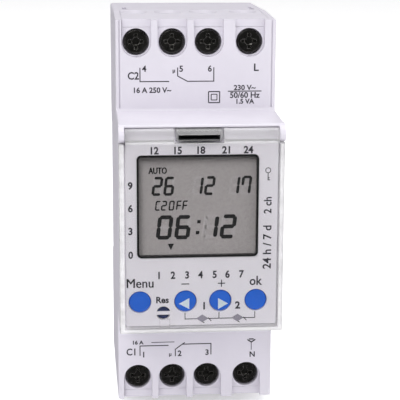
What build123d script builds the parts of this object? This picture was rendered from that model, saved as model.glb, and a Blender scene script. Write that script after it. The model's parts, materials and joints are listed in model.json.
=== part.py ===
from build123d import *
import os

# Two-module DIN rail timer: a modular time switch with two relay outputs, as separate pieces.
#
# The frame: X is to the right as the front is seen, Z is up, and the front faces -Y. The origin is
# the centre of the seat that lies on the front of the 35 mm rail. A "forward" value is a distance in
# front of that seat, so a point at forward 38 has Y = -38. All lengths are in millimetres.

os.makedirs("parts", exist_ok=True)

# Driving dimensions of the body
WIDTH = 35.8
HALF_WIDTH = WIDTH / 2
HALF_HEIGHT = 45.0
REAR_BEHIND = 5.0
PARTING = 19.8
TERMINAL_FACE = 38.0
TERMINAL_HALF_HEIGHT = 44.2
BLOCK_FRONT = 51.2
COVER_FRONT = 55.0
WALL = 1.4
CAVITY_HALF_WIDTH = HALF_WIDTH - WALL
END_WALL_INSIDE = 43.5
EDGE_SOFTENING = 0.3

# The raised block that carries the display
BLOCK_TOP_FOOT = 23.9
BLOCK_TOP = 23.3
BLOCK_BOTTOM = -22.9
BLOCK_BOTTOM_FOOT = -23.1
COLLAR_FRONT = 52.0
COLLAR_HALF_WIDTH = 16.5
COLLAR_BOTTOM = -21.4
COLLAR_TOP = 19.3
FRONT_WINDOW_HALF_WIDTH = 15.6
FRONT_WINDOW_BOTTOM = -20.2
FRONT_WINDOW_TOP = 18.4
FRONT_WALL_INSIDE = 49.8

# The 35 mm rail and what grips it
RAIL_SLOT_HALF = 17.9
RAIL_SLOT_GAP = 1.25
SEAT_HALF = 15.0
SEAT_RELIEF = 0.2
HOOK_TIP = 15.4
CLIP_HALF_WIDTH = 6.0
CLIP_NEAR = 1.5
CLIP_FAR = 4.3
CLIP_GAP = 0.12
SPRING_SEAT = -37.0
SPRING_TOP = -29.1
SPRING_RADIUS = 1.05
SPRING_WIRE = 0.2

# The hinge of the cover
HINGE_FORWARD = 53.5
HINGE_HEIGHT = 21.0
HINGE_BAR_RADIUS = 1.45
HINGE_PIN_RADIUS = 0.8
PIN_CLEARANCE = 0.06
EAR_RADIUS = 1.5
EAR_INSIDE = 16.65

# The clear cover
COVER_HALF_WIDTH = 17.85
COVER_BOTTOM = -22.85
COVER_TOP = 19.2
COVER_INSIDE = 53.9
COVER_SIDE_REAR = 51.35

# The opening for a plug-in programme key, in the middle of the hinge
PORT_X = (-5.2, 3.8)
PORT_Z = (20.1, 21.17)
PORT_MOUTH = 54.2
PORT_CONTACTS = 46.6
CARD_SLOT_X = (-4.7, 3.3)
CARD_SLOT_Z = (20.43, 20.85)
PORT_RIM = 0.5
PORT_GAP = 0.05
NOSE_RADIUS = 1.35

# Terminals: the same four places at the top and at the bottom
TERMINAL_X = (-13.3, -5.25, 2.85, 12.1)
TOP_NAMES = ("4", "5", "6", "l")
BOTTOM_NAMES = ("1", "2", "3", "n")
SCREW_HEIGHT = 39.2
RECESS_RADIUS = 3.3
RECESS_DEPTH = 1.4
HEAD_HOLE_RADIUS = 3.0
HEAD_RADIUS = 2.7
HEAD_FRONT = 36.0
HEAD_SEAT = 34.0
SHANK_RADIUS = 1.75
SHANK_HOLE_RADIUS = 2.15
CHAMBER_FRONT = 33.2
CHAMBER_HALF_WIDTH = 3.2
CHAMBER_INNER = 35.9
CHAMBER_OUTER = 42.5
INNER_WALL = 34.4
BAR_FRONT = 27.1
BAR_REAR = 25.9
BAR_LEG_Z = 32.4
CAGE_NUT_FRONT = 29.9
CAGE_NUT_REAR = 27.3
CAGE_JAW_FRONT = 21.0
CAGE_JAW_REAR = 19.9
WIRE_FORWARD = 23.45
WIRE_RADIUS = 2.9
WIRE_FUNNEL_START = 44.2
WIRE_FUNNEL_RADIUS = 3.35
RUNNING_GAP = 0.05

# The bays for the terminal blocks and wire guides, and the tongues that hold the guides
RECESS_FLOOR = TERMINAL_FACE - RECESS_DEPTH
BAY_HALF_WIDTH = 16.45
INSERT_X = (-16.4, 16.4)
INSERT_REAR = PARTING + 0.1
INSERT_FRONT = RECESS_FLOOR - RUNNING_GAP
TONGUE_X = (-17.05, 17.05)
TONGUE_FORWARD = (29.5, 33.5)
TONGUE_SLOT_X = (-17.15, 17.15)
TONGUE_SLOT_FORWARD = (29.4, 33.6)

# Front panel, display and keys
PANEL_FRONT = 53.2
LCD_X = -0.86
LCD_Z = 5.35
LCD_WIDTH = 26.4
LCD_HEIGHT = 22.65
LCD_CORNER = 1.0
BEZEL = 0.45
LCD_FRONT = 51.9
LCD_REAR = 50.1
CELL_HALF_WIDTH = 13.7
CELL_HALF_HEIGHT = 12.5
HOLDER_INNER_HALF_WIDTH = 12.9
HOLDER_INNER_HALF_HEIGHT = 11.8
KEY_RADIUS = 2.4
KEY_HOLE_RADIUS = 2.5
KEY_FRONT = 53.0
KEY_Z = -15.95
KEYS = {"menu": -13.5, "left": -3.5, "right": 4.2, "ok": 12.0}
RESET_X = -8.36
RESET_Z = -18.55
RESET_RADIUS = 1.4
RESET_HOLE_RADIUS = 1.54
GUARD_BAR = 0.7
DOME_TOP = 48.2

# Circuit boards
BOARD = 1.6
DISPLAY_BOARD_REAR = 43.7
DISPLAY_BOARD_FRONT = DISPLAY_BOARD_REAR + BOARD
POWER_BOARD_REAR = 22.7
POWER_BOARD_FRONT = POWER_BOARD_REAR + BOARD
LINK_PITCH = 2.54
LINK_COUNT = 8
LINK_Z = -10.0
BATTERY_X = 5.0
BATTERY_Z = 6.0


def slab(x, forward, z, mode=Mode.ADD):
    """A box between two X, two forward and two Z limits."""
    centre = ((x[0] + x[1]) / 2, -(forward[0] + forward[1]) / 2, (z[0] + z[1]) / 2)
    with Locations(centre):
        Box(abs(x[1] - x[0]), abs(forward[1] - forward[0]), abs(z[1] - z[0]), mode=mode)


def rod(x, z, forward, radius, mode=Mode.ADD):
    """A cylinder along Y between two forward limits."""
    middle = (x, -(forward[0] + forward[1]) / 2, z)
    with Locations(middle):
        Cylinder(radius, abs(forward[1] - forward[0]), rotation=(90, 0, 0), mode=mode)


def cross_rod(x, forward, z, radius, mode=Mode.ADD):
    """A cylinder along X between two X limits."""
    middle = ((x[0] + x[1]) / 2, -forward, z)
    with Locations(middle):
        Cylinder(radius, abs(x[1] - x[0]), rotation=(0, 90, 0), mode=mode)


def front_plane(forward):
    """The plane at a forward distance, facing forward, with X to the right and Z up."""
    return Plane.XZ.offset(forward)


def write(piece, name):
    """Labels a finished piece and writes its STEP file."""
    piece.label = name
    export_step(piece, f"parts/{name}.step")


# --- Rear housing: the tub that clips on the rail ------------------------------------------------
with BuildPart() as rear_housing:
    with BuildSketch(Plane.YZ):
        with BuildLine():
            Polyline(
                (-PARTING, HALF_HEIGHT),
                (REAR_BEHIND - 1, HALF_HEIGHT),
                (REAR_BEHIND, HALF_HEIGHT - 1),
                (REAR_BEHIND, HOOK_TIP + 4.6),
                (REAR_BEHIND - 1.8, HOOK_TIP),
                (RAIL_SLOT_GAP, HOOK_TIP),
                (RAIL_SLOT_GAP, RAIL_SLOT_HALF),
                (-SEAT_RELIEF, RAIL_SLOT_HALF),
                (-SEAT_RELIEF, SEAT_HALF),
                (0, SEAT_HALF),
                (0, -SEAT_HALF),
                (-SEAT_RELIEF, -SEAT_HALF),
                (-SEAT_RELIEF, -RAIL_SLOT_HALF - 0.4),
                (REAR_BEHIND, -RAIL_SLOT_HALF - 0.4),
                (REAR_BEHIND, 1 - HALF_HEIGHT),
                (REAR_BEHIND - 1, -HALF_HEIGHT),
                (-PARTING, -HALF_HEIGHT),
                close=True,
            )
        make_face()
    extrude(amount=HALF_WIDTH, both=True)
    outer_corners = rear_housing.edges().filter_by(Axis.Y)
    fillet(outer_corners.group_by(Axis.Z)[0] + outer_corners.group_by(Axis.Z)[-1], 0.6)
    # the tub, and the pockets behind it that keep the walls even
    inside = (-CAVITY_HALF_WIDTH, CAVITY_HALF_WIDTH)
    slab(inside, (1.6, PARTING), (-END_WALL_INSIDE, END_WALL_INSIDE), Mode.SUBTRACT)
    slab(inside, (-3.4, 1.6), (19.5, END_WALL_INSIDE), Mode.SUBTRACT)
    slab((8.2, CAVITY_HALF_WIDTH), (-3.4, 1.6), (-END_WALL_INSIDE, -19.8), Mode.SUBTRACT)
    slab((-CAVITY_HALF_WIDTH, -8.2), (-3.4, 1.6), (-END_WALL_INSIDE, -19.8), Mode.SUBTRACT)
    # the guide of the rail clip: a T-slot that is open at the back and at both ends
    clip_guide = CLIP_HALF_WIDTH + CLIP_GAP
    slab((-clip_guide, clip_guide), (-CLIP_FAR - CLIP_GAP, -CLIP_NEAR + CLIP_GAP), (-46, -18), Mode.SUBTRACT)
    slab((-4.4, 4.4), (-REAR_BEHIND, -CLIP_FAR), (-46, -18), Mode.SUBTRACT)
    slab((-1.25, 1.25), (-3.9, -CLIP_NEAR + CLIP_GAP), (SPRING_SEAT - 1.5, SPRING_SEAT))
    # snap windows in both end walls
    for side in (-15.1, 15.1):
        slab((side - 0.5, side + 0.5), (11.5, 18.5), (END_WALL_INSIDE - 1, HALF_HEIGHT + 1), Mode.SUBTRACT)
        slab((side - 0.5, side + 0.5), (11.5, 18.5), (-HALF_HEIGHT - 1, 1 - END_WALL_INSIDE), Mode.SUBTRACT)
    # posts that carry the power board
    for x in (-14.9, 14.9):
        for z in (-27, 27):
            slab((x - 1.1, x + 1.1), (-3.6, POWER_BOARD_REAR), (z - 2, z + 2))
write(rear_housing.part, "rear_housing")

# --- Front housing: terminal shrouds and the raised block ----------------------------------------
with BuildPart() as front_housing:
    with BuildSketch(Plane.YZ) as body_profile:
        with BuildLine():
            Polyline(
                (-PARTING, HALF_HEIGHT),
                (-TERMINAL_FACE, TERMINAL_HALF_HEIGHT),
                (-TERMINAL_FACE, BLOCK_TOP_FOOT),
                (-BLOCK_FRONT, BLOCK_TOP),
                (-BLOCK_FRONT, BLOCK_BOTTOM),
                (-TERMINAL_FACE, BLOCK_BOTTOM_FOOT),
                (-TERMINAL_FACE, -TERMINAL_HALF_HEIGHT),
                (-PARTING, -HALF_HEIGHT),
                close=True,
            )
        make_face()
        reach = (-TERMINAL_FACE - 0.01, -TERMINAL_FACE + 0.01)
        feet = body_profile.vertices().filter_by_position(Axis.X, *reach)
        fillet(feet.filter_by_position(Axis.Y, -BLOCK_TOP_FOOT, BLOCK_TOP_FOOT), 0.7)
    extrude(amount=HALF_WIDTH, both=True)
    sides = front_housing.faces().filter_by(Axis.X)
    fillet(sides.edges() - front_housing.faces().sort_by(Axis.Y)[-1].edges(), EDGE_SOFTENING)
    # the lip over the hinge
    with BuildSketch(Plane.YZ):
        with BuildLine():
            lip_top = Line((-BLOCK_FRONT, BLOCK_TOP), (0.6 - HINGE_FORWARD, BLOCK_TOP))
            RadiusArc(lip_top @ 1, (-HINGE_FORWARD, BLOCK_TOP - 0.6), -0.6)
            Polyline(
                (-HINGE_FORWARD, BLOCK_TOP - 0.6),
                (-HINGE_FORWARD, BLOCK_TOP - 0.65),
                (-BLOCK_FRONT, BLOCK_TOP - 0.65),
                (-BLOCK_FRONT, BLOCK_TOP),
            )
        make_face()
    extrude(amount=HALF_WIDTH, both=True)
    # ears that hold the hinge pins
    with BuildSketch(Plane.YZ.offset(EAR_INSIDE)):
        with Locations((-HINGE_FORWARD, HINGE_HEIGHT)):
            Circle(EAR_RADIUS)
        with BuildLine():
            Polyline(
                (-BLOCK_FRONT, HINGE_HEIGHT - EAR_RADIUS),
                (-HINGE_FORWARD, HINGE_HEIGHT - EAR_RADIUS),
                (-HINGE_FORWARD, HINGE_HEIGHT),
                (-HINGE_FORWARD - 0.964, HINGE_HEIGHT + 1.149),
                (0.6 - HINGE_FORWARD, BLOCK_TOP),
                (-BLOCK_FRONT, BLOCK_TOP),
                close=True,
            )
        make_face()
    extrude(amount=HALF_WIDTH - EAR_INSIDE)
    mirror(about=Plane.YZ)
    slab((-COLLAR_HALF_WIDTH, COLLAR_HALF_WIDTH), (BLOCK_FRONT, COLLAR_FRONT), (COLLAR_BOTTOM, COLLAR_TOP))
    # the hollow behind the terminal shrouds, the raised block and its front opening
    inside = (-CAVITY_HALF_WIDTH, CAVITY_HALF_WIDTH)
    slab(inside, (PARTING, TERMINAL_FACE - 1.5), (-INNER_WALL, INNER_WALL), Mode.SUBTRACT)
    slab(inside, (TERMINAL_FACE - 1.5, FRONT_WALL_INSIDE), (-21.5, 22.0), Mode.SUBTRACT)
    front_window = (-FRONT_WINDOW_HALF_WIDTH, FRONT_WINDOW_HALF_WIDTH)
    window_z = (FRONT_WINDOW_BOTTOM, FRONT_WINDOW_TOP)
    slab(front_window, (FRONT_WALL_INSIDE, COLLAR_FRONT), window_z, Mode.SUBTRACT)
    rod(KEYS["menu"], KEY_Z, (FRONT_WALL_INSIDE, COLLAR_FRONT), KEY_HOLE_RADIUS, Mode.SUBTRACT)
    slab(PORT_X, (FRONT_WALL_INSIDE, COVER_FRONT), PORT_Z, Mode.SUBTRACT)
    # sockets of the hinge pins
    pin_socket = (-HALF_WIDTH + 0.35, HALF_WIDTH - 0.35)
    for ear in ((EAR_INSIDE, pin_socket[1]), (pin_socket[0], -EAR_INSIDE)):
        cross_rod(ear, HINGE_FORWARD, HINGE_HEIGHT, HINGE_PIN_RADIUS + PIN_CLEARANCE, Mode.SUBTRACT)
    # bays for the terminal blocks and the wire guides, with arched recesses and ways in for the bars
    bay = (-BAY_HALF_WIDTH, BAY_HALF_WIDTH)
    for top in (1, -1):
        slab(bay, (PARTING, RECESS_FLOOR), (top * CHAMBER_INNER, top * (HALF_HEIGHT + 1)), Mode.SUBTRACT)
        slab(TONGUE_SLOT_X, TONGUE_SLOT_FORWARD, (top * 42.8, top * 44.2), Mode.SUBTRACT)
        for x in TERMINAL_X:
            z = top * SCREW_HEIGHT
            rod(x, z, (RECESS_FLOOR, TERMINAL_FACE), RECESS_RADIUS, Mode.SUBTRACT)
            recess = (x - RECESS_RADIUS, x + RECESS_RADIUS)
            slab(recess, (RECESS_FLOOR, TERMINAL_FACE), (z, top * HALF_HEIGHT), Mode.SUBTRACT)
            slab((x - 2.4, x + 2.4), (PARTING, 27.6), (top * INNER_WALL, top * CHAMBER_INNER), Mode.SUBTRACT)
    # fine seams down both sides of the upper terminal shroud
    for side in (-17.05, 17.05):
        seam = (side - 0.13, side + 0.13)
        slab(seam, (TERMINAL_FACE - 0.3, TERMINAL_FACE), (BLOCK_TOP_FOOT + 0.6, HALF_HEIGHT), Mode.SUBTRACT)
write(front_housing.part, "front_housing")

# --- Terminal blocks: one at each end, with a chamber and a screw hole for each terminal ----------
for end_name, top in (("top", 1), ("bottom", -1)):
    with BuildPart() as terminal_block:
        height = (top * (CHAMBER_INNER + RUNNING_GAP), top * (CHAMBER_OUTER - RUNNING_GAP))
        slab(INSERT_X, (INSERT_REAR, INSERT_FRONT), height)
        for x in TERMINAL_X:
            chamber = (x - CHAMBER_HALF_WIDTH, x + CHAMBER_HALF_WIDTH)
            slab(chamber, (INSERT_REAR, CHAMBER_FRONT), height, Mode.SUBTRACT)
            head_hole = (HEAD_SEAT - RUNNING_GAP, INSERT_FRONT)
            rod(x, top * SCREW_HEIGHT, head_hole, HEAD_HOLE_RADIUS, Mode.SUBTRACT)
            rod(x, top * SCREW_HEIGHT, (CHAMBER_FRONT, HEAD_SEAT), SHANK_HOLE_RADIUS, Mode.SUBTRACT)
    write(terminal_block.part, f"terminal_block_{end_name}")

# --- Wire guides: the end walls with the round wire entries, held by tongues and snap arms --------
for end_name, top in (("top", 1), ("bottom", -1)):
    with BuildPart() as wire_guide:
        with BuildSketch(Plane.YZ):
            with BuildLine():
                Polyline(
                    (-INSERT_REAR, top * CHAMBER_OUTER),
                    (-INSERT_REAR, top * (HALF_HEIGHT - RUNNING_GAP)),
                    (-INSERT_FRONT, top * (TERMINAL_HALF_HEIGHT + RUNNING_GAP)),
                    (-INSERT_FRONT, top * CHAMBER_OUTER),
                    close=True,
                )
            make_face()
        extrude(amount=INSERT_X[1], both=True)
        slab(TONGUE_X, TONGUE_FORWARD, (top * 42.9, top * 44.1))
        for side in (-15.1, 15.1):
            slab((side - 0.8, side + 0.8), (12.2, INSERT_REAR + 1), (top * CHAMBER_OUTER, top * 43.35))
            slab((side - 0.35, side + 0.35), (12.2, 13.8), (top * 43.3, top * 44.6))
        for x in TERMINAL_X:
            with Locations((x, -WIRE_FORWARD, top * (CHAMBER_OUTER + HALF_HEIGHT) / 2)):
                Cylinder(WIRE_RADIUS, HALF_HEIGHT - CHAMBER_OUTER + 0.2, mode=Mode.SUBTRACT)
            funnel = (WIRE_FUNNEL_RADIUS, WIRE_RADIUS) if top < 0 else (WIRE_RADIUS, WIRE_FUNNEL_RADIUS)
            with Locations((x, -WIRE_FORWARD, top * (WIRE_FUNNEL_START + HALF_HEIGHT) / 2)):
                Cone(*funnel, HALF_HEIGHT - WIRE_FUNNEL_START, mode=Mode.SUBTRACT)
    write(wire_guide.part, f"wire_guide_{end_name}")

# --- Front panel: the printed plate in front of the display board --------------------------------
with BuildPart() as faceplate:
    with BuildSketch(front_plane(PANEL_FRONT)):
        with Locations((0, (COLLAR_TOP + COLLAR_BOTTOM) / 2)):
            RectangleRounded(2 * COLLAR_HALF_WIDTH, COLLAR_TOP - COLLAR_BOTTOM, 0.4)
        with Locations((LCD_X, LCD_Z)):
            RectangleRounded(LCD_WIDTH, LCD_HEIGHT, LCD_CORNER, mode=Mode.SUBTRACT)
        for key_x in KEYS.values():
            with Locations((key_x, KEY_Z)):
                Circle(KEY_HOLE_RADIUS, mode=Mode.SUBTRACT)
        with Locations((RESET_X, RESET_Z)):
            Circle(RESET_HOLE_RADIUS, mode=Mode.SUBTRACT)
    extrude(amount=COLLAR_FRONT - PANEL_FRONT)
    # the bar across the reset hole, so that only a pin reaches the key
    guard = (RESET_Z - GUARD_BAR / 2, RESET_Z + GUARD_BAR / 2)
    slab((RESET_X - RESET_HOLE_RADIUS - 0.1, RESET_X + RESET_HOLE_RADIUS + 0.1), (52.75, PANEL_FRONT), guard)
    # posts that hold the display board
    for post_x, post_z in ((14.4, 17.0), (14.4, -9.6), (-14.4, -9.6)):
        rod(post_x, post_z, (DISPLAY_BOARD_FRONT, COLLAR_FRONT), 1.1)
write(faceplate.part, "faceplate")

# --- Clear nose around the programme key opening, in line with the hinge bar of the cover --------
nose = (PORT_X[0] - PORT_RIM, PORT_X[1] + PORT_RIM)
with BuildPart() as key_port:
    cross_rod(nose, HINGE_FORWARD, HINGE_HEIGHT, NOSE_RADIUS)
    slab(nose, (BLOCK_FRONT, HINGE_FORWARD), (HINGE_HEIGHT - NOSE_RADIUS, HINGE_HEIGHT + NOSE_RADIUS))
    slab(PORT_X, (BLOCK_FRONT - 1, COVER_FRONT), PORT_Z, Mode.SUBTRACT)
write(key_port.part, "key_port")

# --- Clear cover: it hangs on its hinge bar and flips up -----------------------------------------
with BuildPart() as cover:
    tray = (-COVER_HALF_WIDTH, COVER_HALF_WIDTH)
    slab(tray, (COVER_SIDE_REAR, COVER_FRONT), (COVER_BOTTOM, COVER_TOP))
    front_edges = cover.edges().group_by(Axis.Y)[0]
    fillet(front_edges.filter_by(Axis.Z) + front_edges.filter_by(Axis.X).sort_by(Axis.Z)[:1], 0.8)
    slab((-16.75, 16.75), (COVER_SIDE_REAR - 1, COVER_INSIDE), (-21.75, COVER_TOP + 1), Mode.SUBTRACT)
    bar = (-EAR_INSIDE + 0.15, EAR_INSIDE - 0.15)
    slab(bar, (COVER_INSIDE, COVER_FRONT), (COVER_TOP - 0.5, HINGE_HEIGHT))
    cross_rod(bar, HINGE_FORWARD, HINGE_HEIGHT, HINGE_BAR_RADIUS)
    cross_rod((pin_socket[0] + 0.1, pin_socket[1] - 0.1), HINGE_FORWARD, HINGE_HEIGHT, HINGE_PIN_RADIUS)
    # the bar turns clear of the panel, and the cut-out clears the key opening
    slab((nose[0] - 0.3, nose[1] + 0.3), (50, 56), (19.45, 23), Mode.SUBTRACT)
    # catch on the inside of the lower edge
    slab((-9.2, -7.0), (53.4, COVER_INSIDE), (-21.75, -19.7))
    slab((-9.2, -7.0), (51.6, 52.3), (-21.8, -21.55))
write(cover.part, "cover")

# --- Display: frame, clear window, glass cell, light guide, holder and contact strips ------------
with BuildPart() as lcd_bezel:
    with BuildSketch(front_plane(COLLAR_FRONT)):
        with Locations((LCD_X, LCD_Z)):
            RectangleRounded(LCD_WIDTH, LCD_HEIGHT, LCD_CORNER)
            RectangleRounded(
                LCD_WIDTH - 2 * BEZEL, LCD_HEIGHT - 2 * BEZEL, LCD_CORNER - BEZEL, mode=Mode.SUBTRACT
            )
    extrude(amount=PANEL_FRONT - COLLAR_FRONT + 0.15)
write(lcd_bezel.part, "lcd_bezel")

with BuildPart() as lcd_window:
    with BuildSketch(front_plane(COLLAR_FRONT + 0.2)):
        with Locations((LCD_X, LCD_Z)):
            RectangleRounded(LCD_WIDTH - 2 * BEZEL, LCD_HEIGHT - 2 * BEZEL, LCD_CORNER - BEZEL)
    extrude(amount=0.9)
write(lcd_window.part, "lcd_window")

with BuildPart() as lcd_panel:
    across = (LCD_X - CELL_HALF_WIDTH, LCD_X + CELL_HALF_WIDTH)
    seen_z = (LCD_Z - CELL_HALF_HEIGHT + 1.6, LCD_Z + CELL_HALF_HEIGHT - 1.6)
    slab(across, (LCD_REAR + 0.9, LCD_FRONT), seen_z)
    slab(across, (LCD_REAR, LCD_REAR + 0.9), (LCD_Z - CELL_HALF_HEIGHT, LCD_Z + CELL_HALF_HEIGHT))
write(lcd_panel.part, "lcd_panel")

with BuildPart() as lcd_backlight:
    slab((LCD_X - 12.7, LCD_X + 12.7), (LCD_REAR - 2.2, LCD_REAR), (LCD_Z - 9.8, LCD_Z + 9.8))
    chamfer(lcd_backlight.edges().group_by(Axis.Y)[-1], 0.6)
write(lcd_backlight.part, "lcd_backlight")

with BuildPart() as lcd_holder:
    with BuildSketch(front_plane(DISPLAY_BOARD_FRONT)):
        with Locations((LCD_X, LCD_Z)):
            Rectangle(2 * CELL_HALF_WIDTH, 2 * CELL_HALF_HEIGHT)
            Rectangle(2 * HOLDER_INNER_HALF_WIDTH, 2 * HOLDER_INNER_HALF_HEIGHT, mode=Mode.SUBTRACT)
    extrude(amount=LCD_REAR - DISPLAY_BOARD_FRONT)
write(lcd_holder.part, "lcd_holder")

with BuildPart() as zebra_strips:
    for top in (1, -1):
        strip = (LCD_Z + top * 10.1, LCD_Z + top * 11.7)
        slab((LCD_X - 12.5, LCD_X + 12.5), (DISPLAY_BOARD_FRONT, LCD_REAR), strip)
write(zebra_strips.part, "zebra_strips")

# --- Keys: four round caps and the recessed reset key, on one rubber mat -------------------------
for key_name, key_x in KEYS.items():
    with BuildPart() as key:
        rod(key_x, KEY_Z, (51.3, KEY_FRONT), KEY_RADIUS)
        fillet(key.edges().group_by(Axis.Y)[0], 0.35)
        slab((key_x - 1.0, key_x + 1.0), (50.9, 51.9), (KEY_Z - 3.0, KEY_Z + 3.0))
        rod(key_x, KEY_Z, (DOME_TOP + RUNNING_GAP, 51.4), 1.5)
    write(key.part, f"button_{key_name}")

with BuildPart() as button_reset:
    rod(RESET_X, RESET_Z, (51.9, 52.6), RESET_RADIUS)
    rod(RESET_X, RESET_Z, (51.1, 51.9), 1.65)
    rod(RESET_X, RESET_Z, (DOME_TOP + RUNNING_GAP, 51.1), 1.0)
write(button_reset.part, "button_reset")

with BuildPart() as keypad_mat:
    slab((-15.3, 14.8), (DISPLAY_BOARD_FRONT, DISPLAY_BOARD_FRONT + 0.9), (-20.8, -12.7))
    for key_x in KEYS.values():
        with BuildSketch(front_plane(DISPLAY_BOARD_FRONT + 0.9)):
            with Locations((key_x, KEY_Z)):
                Circle(2.1)
        extrude(amount=DOME_TOP - DISPLAY_BOARD_FRONT - 0.9, taper=12)
    rod(RESET_X, RESET_Z, (DISPLAY_BOARD_FRONT + 0.9, DOME_TOP), 1.1)
write(keypad_mat.part, "keypad_mat")

# --- Display board and what is soldered to it ----------------------------------------------------
link_x = [(n - (LINK_COUNT - 1) / 2) * LINK_PITCH for n in range(LINK_COUNT)]
with BuildPart() as display_board:
    with BuildSketch(front_plane(DISPLAY_BOARD_FRONT)):
        with Locations((0, 0.25)):
            RectangleRounded(31.2, 42.9, 0.8)
        for x in link_x:
            with Locations((x, LINK_Z)):
                Circle(0.5, mode=Mode.SUBTRACT)
    extrude(amount=-BOARD)
write(display_board.part, "display_board")

with BuildPart() as card_connector:
    slab((PORT_X[0] - 1, PORT_X[1] + 1), (DISPLAY_BOARD_FRONT, FRONT_WALL_INSIDE - 0.1), (19.0, 21.6))
    snout_x = (PORT_X[0] + PORT_GAP, PORT_X[1] - PORT_GAP)
    slab(snout_x, (FRONT_WALL_INSIDE - 1, PORT_MOUTH), (PORT_Z[0] + PORT_GAP, PORT_Z[1] - PORT_GAP))
    slab(CARD_SLOT_X, (PORT_CONTACTS, PORT_MOUTH), CARD_SLOT_Z, Mode.SUBTRACT)
write(card_connector.part, "card_connector")

with BuildPart() as microcontroller:
    slab((-14.6, -6.6), (DISPLAY_BOARD_REAR - 1.5, DISPLAY_BOARD_REAR), (-6.5, 1.5))
    chamfer(microcontroller.edges().group_by(Axis.Y)[-1], 0.25)
write(microcontroller.part, "microcontroller")

with BuildPart() as crystal:
    with BuildSketch(Plane.YZ.offset(-12.5)):
        with Locations((1.6 - DISPLAY_BOARD_REAR, -14.5)):
            SlotCenterToCenter(1.4, 3.0, rotation=90)
    extrude(amount=10)
write(crystal.part, "crystal")

with BuildPart() as backup_battery:
    rod(BATTERY_X, BATTERY_Z, (40.1, 42.9), 10.0)
    fillet(backup_battery.edges().filter_by(GeomType.CIRCLE), 0.4)
    rod(BATTERY_X, BATTERY_Z, (42.8, 43.2), 8.2)
write(backup_battery.part, "backup_battery")

with BuildPart() as battery_holder:
    rod(BATTERY_X, BATTERY_Z, (41.4, DISPLAY_BOARD_REAR), 10.5)
    rod(BATTERY_X, BATTERY_Z, (41.0, 43.2), 10.05, Mode.SUBTRACT)
    slab((BATTERY_X - 12, BATTERY_X - 6), (40.0, 43.2), (BATTERY_Z - 3, BATTERY_Z + 3), Mode.SUBTRACT)
write(battery_holder.part, "battery_holder")

with BuildPart() as link_pins:
    for x in link_x:
        slab((x - 0.32, x + 0.32), (POWER_BOARD_REAR, 46.0), (LINK_Z - 0.32, LINK_Z + 0.32))
write(link_pins.part, "link_pins")

with BuildPart() as link_header:
    slab((-10.2, 10.2), (POWER_BOARD_FRONT, POWER_BOARD_FRONT + 2.5), (LINK_Z - 1.25, LINK_Z + 1.25))
    for x in link_x:
        rod(x, LINK_Z, (POWER_BOARD_FRONT, POWER_BOARD_FRONT + 2.5), 0.5, Mode.SUBTRACT)
write(link_header.part, "link_header")

# --- Power board: relays behind it, the capacitive supply in front of it --------------------------
with BuildPart() as power_board:
    with BuildSketch(front_plane(POWER_BOARD_FRONT)):
        RectangleRounded(31.8, 67.6, 0.8)
        for x in link_x:
            with Locations((x, LINK_Z)):
                Circle(0.5, mode=Mode.SUBTRACT)
        for x in TERMINAL_X:
            with Locations((x, BAR_LEG_Z), (x, -BAR_LEG_Z)):
                Rectangle(1.3, 1.5, mode=Mode.SUBTRACT)
    extrude(amount=-BOARD)
write(power_board.part, "power_board")

for relay_name, relay_x in (("relay_1", -7.4), ("relay_2", 7.4)):
    with BuildPart() as relay:
        slab((relay_x - 6.3, relay_x + 6.3), (6.9, POWER_BOARD_REAR - 0.4), (-14.4, 14.4))
        chamfer(relay.edges().group_by(Axis.Y)[-1], 0.5)
        fillet(relay.edges().filter_by(Axis.Y), 0.5)
        for foot_x in (relay_x - 5, relay_x + 5):
            for foot_z in (-13, 13):
                rod(foot_x, foot_z, (POWER_BOARD_REAR - 0.5, POWER_BOARD_REAR), 0.7)
    write(relay.part, relay_name)

with BuildPart() as dropper_capacitor:
    slab((-15.2, -6.7), (POWER_BOARD_FRONT, 38.3), (3.5, 21.5))
    fillet(dropper_capacitor.edges().filter_by(Axis.Y), 0.6)
    fillet(dropper_capacitor.edges().group_by(Axis.Y)[0], 0.5)
write(dropper_capacitor.part, "dropper_capacitor")

with BuildPart() as buffer_capacitors:
    for x in (0.5, 10.0):
        rod(x, 22.0, (POWER_BOARD_FRONT, 36.0), 4.0)
    fillet(buffer_capacitors.edges().group_by(Axis.Y)[0], 0.5)
write(buffer_capacitors.part, "buffer_capacitors")

with BuildPart() as varistor:
    cross_rod((-13.0, -9.0), 30.3, -20.0, 5.0)
    fillet(varistor.edges().filter_by(GeomType.CIRCLE), 1.2)
    for leg_z in (-22.5, -17.5):
        slab((-11.4, -10.6), (POWER_BOARD_FRONT, 27.5), (leg_z - 0.4, leg_z + 0.4))
write(varistor.part, "varistor")

with BuildPart() as rectifier:
    slab((-1.2, 7.3), (POWER_BOARD_FRONT + 0.3, 28.0), (2.0, 8.5))
    chamfer(rectifier.edges().group_by(Axis.Y)[0], 0.4)
    for leg_x in (0.2, 5.9):
        slab((leg_x - 0.5, leg_x + 0.5), (POWER_BOARD_FRONT, 25.4), (1.2, 9.3))
write(rectifier.part, "rectifier")

with BuildPart() as fuse_resistor:
    with Locations((12.0, -27.6, -20.0)):
        Cylinder(2.0, 11.0)
    fillet(fuse_resistor.edges().filter_by(GeomType.CIRCLE), 0.5)
    for end in (-26.4, -14.6):
        slab((11.6, 12.4), (POWER_BOARD_FRONT, 28.0), (end - 0.4, end + 0.4))
        slab((11.6, 12.4), (27.2, 28.0), (end, -20.0 + (end + 20.0) * 0.8))
write(fuse_resistor.part, "fuse_resistor")

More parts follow.
